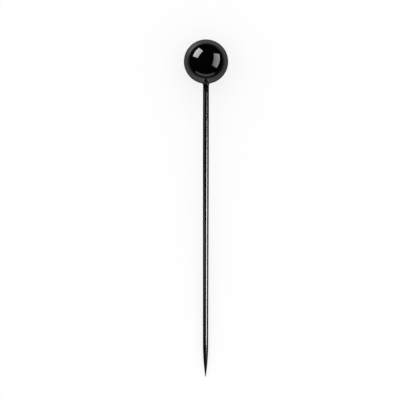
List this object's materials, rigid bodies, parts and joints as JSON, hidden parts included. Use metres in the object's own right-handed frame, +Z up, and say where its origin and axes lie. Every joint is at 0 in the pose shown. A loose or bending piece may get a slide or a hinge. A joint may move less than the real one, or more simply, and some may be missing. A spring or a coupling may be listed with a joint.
{
  "type": "straight pin",
  "caption": "Slim steel straight pin with a ground needle point and a round glossy black ball head, for pinning cloth, paper or flowers.",
  "frame": {"origin": "on the table, under the middle of the lying pin's length", "axes": "+Z up from the table; +Y along the table from the point to the head; X is across the pin. The pin's own axis leans 3.87 degrees from Y, because the ball is thicker than the point"},
  "size_m": [0.005, 0.038, 0.005],
  "materials": {
    "shank": "hard steel wire with a bright black plating, polished",
    "ball_head": "black, mirror gloss"
  },
  "bodies": {
    "root": {"shank": "shank", "ball_head": "ball_head"}
  },
  "joints": []
}
